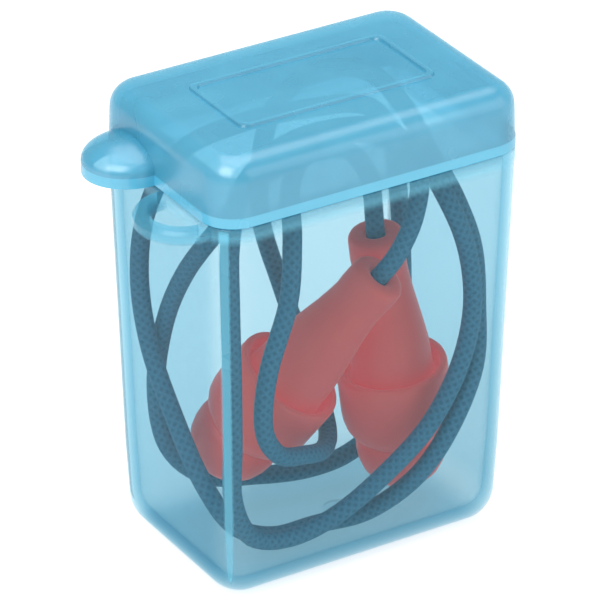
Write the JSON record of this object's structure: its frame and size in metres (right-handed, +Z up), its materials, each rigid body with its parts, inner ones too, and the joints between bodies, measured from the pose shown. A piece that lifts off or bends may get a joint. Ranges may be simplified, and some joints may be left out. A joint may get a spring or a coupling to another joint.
{
  "type": "corded ear plugs in a flip-lid case",
  "caption": "Corded, flanged ear plugs coiled inside a translucent flip-lid carry case with a thumb tab, a living hinge and a belt eyelet.",
  "frame": {"origin": "centre of the case's flat bottom face", "axes": "+Z up out of the lid; +X towards the hinge end, -X is the thumb tab and eyelet end; the case's width runs along Y"},
  "size_m": [0.0425, 0.025, 0.0516],
  "materials": {
    "case": "satin translucent",
    "plug": "matt soft elastomer",
    "cord": "satin"
  },
  "bodies": {
    "case": {"case_box": "case", "ear_plug_a": "plug", "ear_plug_b": "plug", "cord": "cord"},
    "lid": {"case_lid": "case"}
  },
  "joints": [
    {"name": "lid_hinge", "type": "hinge", "parent": "case", "child": "lid", "pos_m": [0.019, 0, 0.0445], "axis": [0, 1, 0], "range_deg": [0, 180]}
  ]
}
